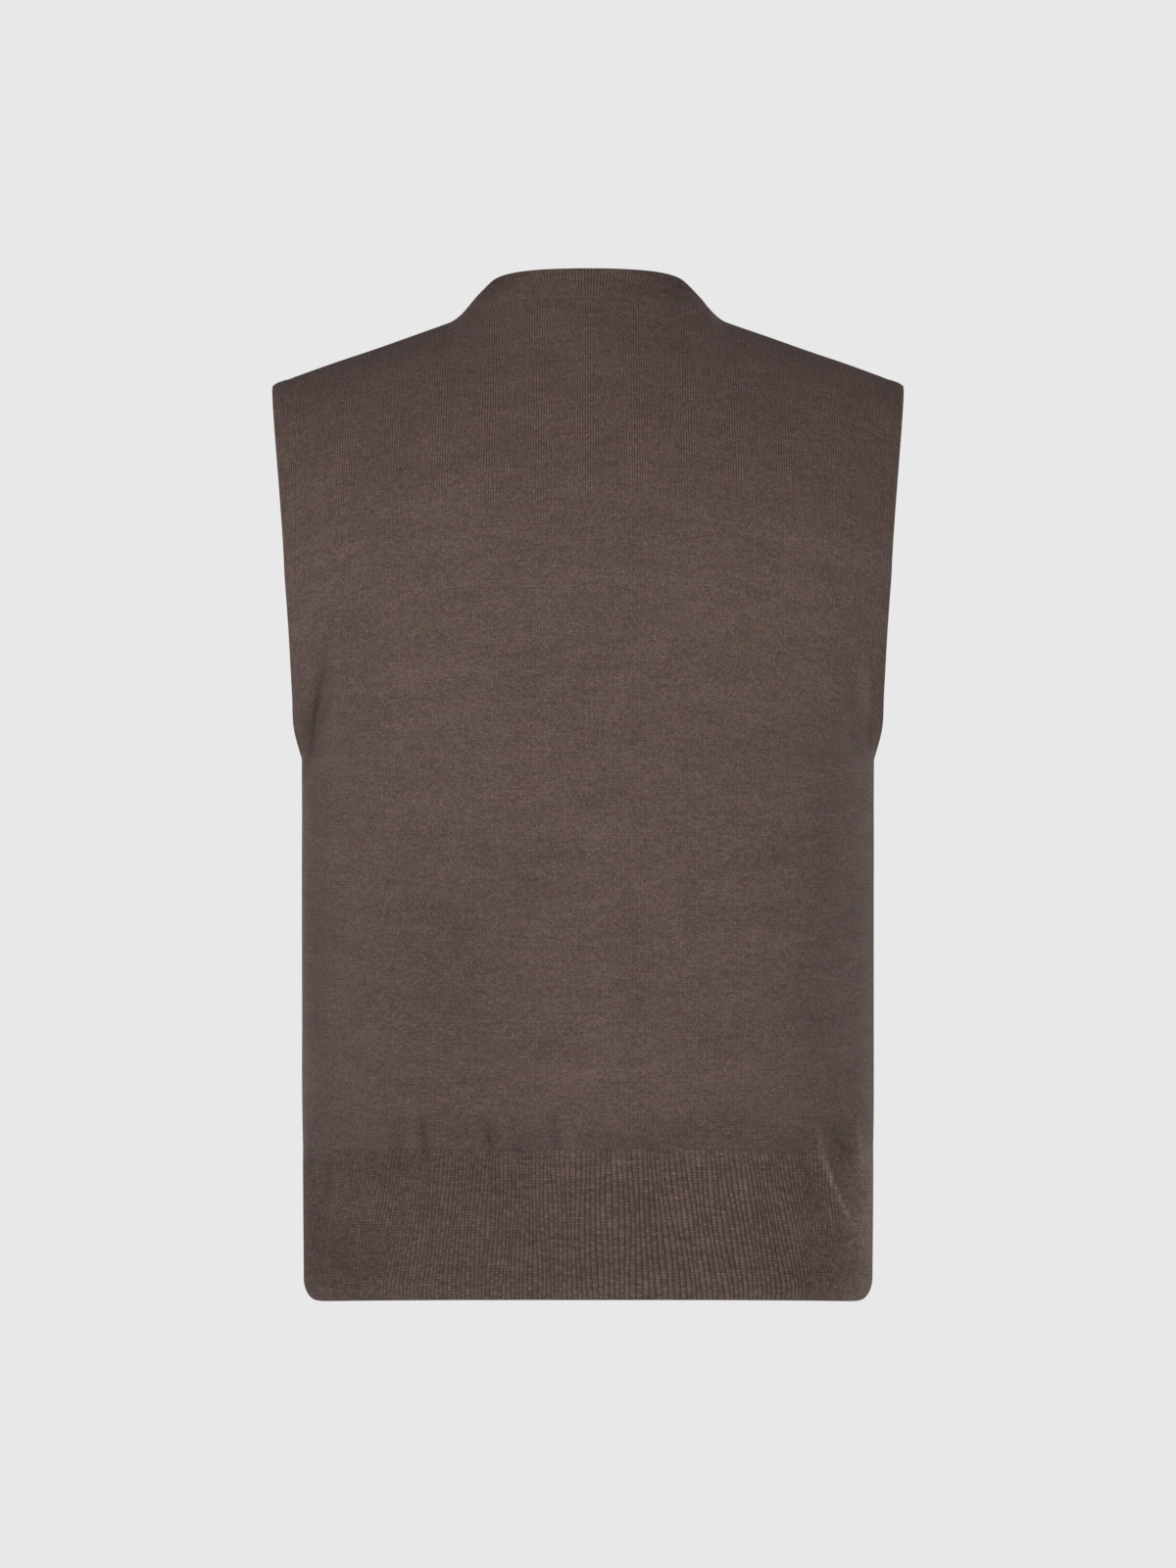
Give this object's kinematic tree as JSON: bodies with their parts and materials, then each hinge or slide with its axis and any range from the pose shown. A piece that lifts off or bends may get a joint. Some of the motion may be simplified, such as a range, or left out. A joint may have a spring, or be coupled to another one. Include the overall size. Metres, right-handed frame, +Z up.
{
  "type": "knitted sweater vest",
  "caption": "Sleeveless crew-neck pullover in fine melange knit, worn shape, hollow, with deep ribbed hem, narrow ribbed neckband and plain armholes.",
  "frame": {"origin": "the point between the shoulders where the wearer holds the garment up, 630 mm above the hem rib's lower edge at the side seams, midway between the sides and in the plane of the side and shoulder seams", "axes": "+Z up, +Y the way the wearer's chest faces, +X the wearer's right"},
  "size_m": [0.4186, 0.2473, 0.6799],
  "materials": {
    "body_knit": "matt fine stockinette in heathered brown wool",
    "rib_knit": "matt one-by-one rib in the same heathered brown wool"
  },
  "bodies": {
    "root": {"back_panel": "body_knit", "front_panel": "body_knit", "hem_rib_back": "rib_knit", "hem_rib_front": "rib_knit", "neckband": "rib_knit"}
  },
  "joints": []
}
